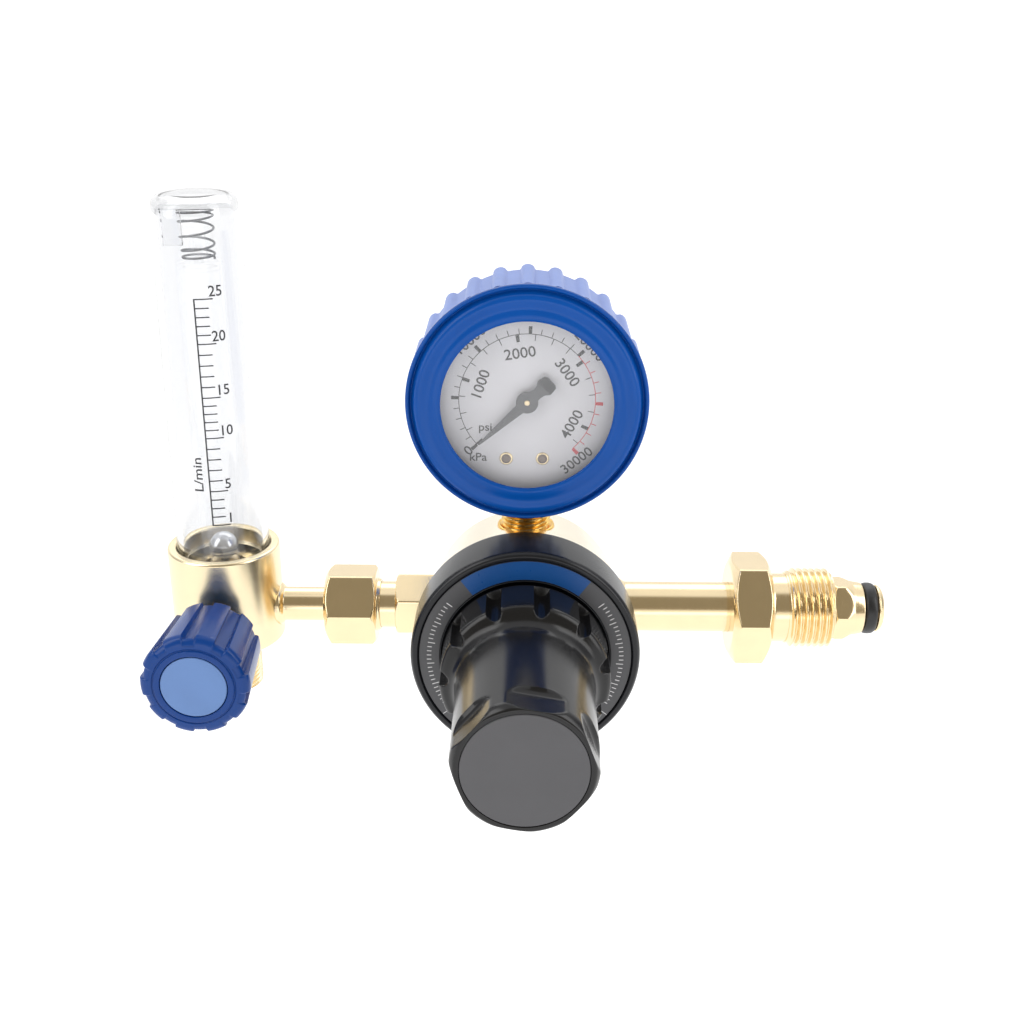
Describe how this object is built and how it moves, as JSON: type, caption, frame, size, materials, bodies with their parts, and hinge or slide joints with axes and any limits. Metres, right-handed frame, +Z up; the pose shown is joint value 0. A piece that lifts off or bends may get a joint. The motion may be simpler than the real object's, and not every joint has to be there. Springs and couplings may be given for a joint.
{
  "type": "gas regulator with flowmeter",
  "caption": "Cylinder gas regulator: threaded bullnose inlet, black adjusting knob, contents gauge in a blue rubber boot and a tube flowmeter with needle valve.",
  "frame": {"origin": "on the axis of the inlet thread, where the full thread ends", "axes": "+X out of the regulator along the inlet connection, +Z up along the flowmeter tube, knobs towards -Y"},
  "size_m": [0.2051, 0.1027, 0.1485],
  "materials": {
    "brass_polished": "polished",
    "brass_satin": "satin",
    "bronze_sintered": "sintered",
    "steel_bright": "bright",
    "spring_steel": "satin",
    "black_gloss": "gloss",
    "black_paint": "satin gloss",
    "label_grey": "satin print",
    "cap_grey": "satin",
    "rubber_black": "matte",
    "boot_blue": "glossy",
    "knob_blue": "satin gloss",
    "disc_blue": "satin",
    "clear_plastic": "clear",
    "dial_white": "satin",
    "pointer_grey": "satin",
    "seat_plastic": "smooth"
  },
  "bodies": {
    "regulator": {"regulator_body": "brass_polished", "bonnet": "black_paint", "label_ring": "label_grey", "slip_ring": "steel_bright", "diaphragm": "rubber_black", "main_spring": "spring_steel", "valve_nozzle": "brass_satin", "poppet_spring": "spring_steel", "inlet_stem": "brass_polished", "inlet_filter": "bronze_sintered", "bullnose_nipple": "brass_polished", "inlet_o_ring": "rubber_black", "gauge_socket": "brass_satin", "gauge_case": "steel_bright", "gauge_boot": "boot_blue", "lens_ring": "steel_bright", "gauge_lens": "clear_plastic", "lens_gasket": "rubber_black", "dial_plate": "dial_white", "dial_screws": "brass_satin", "movement_frame": "brass_satin", "bourdon_tube": "bronze_sintered", "hair_spring": "spring_steel", "outlet_adaptor": "brass_polished"},
    "valve": {"diaphragm_plate": "brass_satin", "spring_seat": "steel_bright", "valve_poppet": "seat_plastic"},
    "screw_follower": {"spring_button": "steel_bright"},
    "knob": {"adjusting_screw": "steel_bright", "pressure_knob": "black_gloss", "knob_cap_disc": "cap_grey"},
    "inlet_nut": {"inlet_nut": "brass_polished"},
    "gauge_pointer": {"pointer": "pointer_grey", "pinion_arbor": "brass_satin"},
    "sector": {"sector_gear": "brass_satin"},
    "tube_tip": {"bourdon_link": "brass_satin"},
    "union_nut": {"union_nut": "brass_polished"},
    "flowmeter": {"flow_stem": "brass_polished", "flowmeter_body": "brass_polished", "outlet_fitting": "brass_polished", "tube_cover": "clear_plastic", "cover_o_ring": "rubber_black", "metering_tube": "clear_plastic", "tube_seals": "clear_plastic", "float_seat": "brass_satin", "tube_spring": "spring_steel", "spring_guide": "clear_plastic", "needle_gland": "brass_polished"},
    "float": {"float_ball": "steel_bright"},
    "needle_follower": {"needle_o_ring": "rubber_black"},
    "flow_knob": {"needle_stem": "steel_bright", "flow_knob": "knob_blue", "flow_knob_disc": "disc_blue"}
  },
  "joints": [
    {"name": "valve_travel", "type": "slide", "parent": "regulator", "child": "valve", "axis": [0, 1, 0], "range_m": [0, 0.0008], "stiffness_N_per_m": 4000, "deforming": ["diaphragm", "poppet_spring"]},
    {"name": "screw_advance", "type": "slide", "parent": "regulator", "child": "screw_follower", "axis": [0, 1, 0], "range_m": [0, 0.00438], "deforming": ["main_spring"]},
    {"name": "pressure_knob_turn", "type": "hinge", "parent": "screw_follower", "child": "knob", "pos_m": [-0.08736, -0.07, 0], "axis": [0, 1, 0], "range_deg": [0, 1260]},
    {"name": "inlet_nut_turn", "type": "hinge", "parent": "regulator", "child": "inlet_nut", "pos_m": [-0.01236, 0, 0], "axis": [1, 0, 0], "continuous": true},
    {"name": "pointer_turn", "type": "hinge", "parent": "regulator", "child": "gauge_pointer", "pos_m": [-0.08736, -0.008, 0.0672], "axis": [0, 1, 0], "range_deg": [0, 270], "deforming": ["hair_spring"]},
    {"name": "sector_turn", "type": "hinge", "parent": "regulator", "child": "sector", "pos_m": [-0.08736, -0.004, 0.0564], "axis": [0, 1, 0], "range_deg": [-33.76, 0]},
    {"name": "tube_tip_travel", "type": "slide", "parent": "regulator", "child": "tube_tip", "axis": [1, 0, 0], "range_m": [0, 0.00232], "deforming": ["bourdon_tube"]},
    {"name": "union_nut_turn", "type": "hinge", "parent": "regulator", "child": "union_nut", "pos_m": [-0.13736, 0, 0], "axis": [1, 0, 0], "continuous": true},
    {"name": "flowmeter_swivel", "type": "hinge", "parent": "regulator", "child": "flowmeter", "pos_m": [-0.13536, 0, 0], "axis": [1, 0, 0], "range_deg": [-90, 90]},
    {"name": "float_rise", "type": "slide", "parent": "flowmeter", "child": "float", "axis": [0, 0, 1], "range_m": [0, 0.073]},
    {"name": "needle_lift", "type": "slide", "parent": "flowmeter", "child": "needle_follower", "axis": [0, -1, 0], "range_m": [0, 0.00225]},
    {"name": "flow_knob_turn", "type": "hinge", "parent": "needle_follower", "child": "flow_knob", "pos_m": [-0.17376, -0.03, -0.0025], "axis": [0, -1, 0], "range_deg": [0, 1080]}
  ],
  "couplings": [
    {"joint": "pressure_knob_turn", "follows": "screw_advance", "rad_per_m": 5026.5},
    {"joint": "pointer_turn", "follows": "tube_tip_travel", "rad_per_m": 2029.2},
    {"joint": "sector_turn", "follows": "tube_tip_travel", "rad_per_m": -253.65},
    {"joint": "flow_knob_turn", "follows": "needle_lift", "rad_per_m": 8377.6}
  ]
}
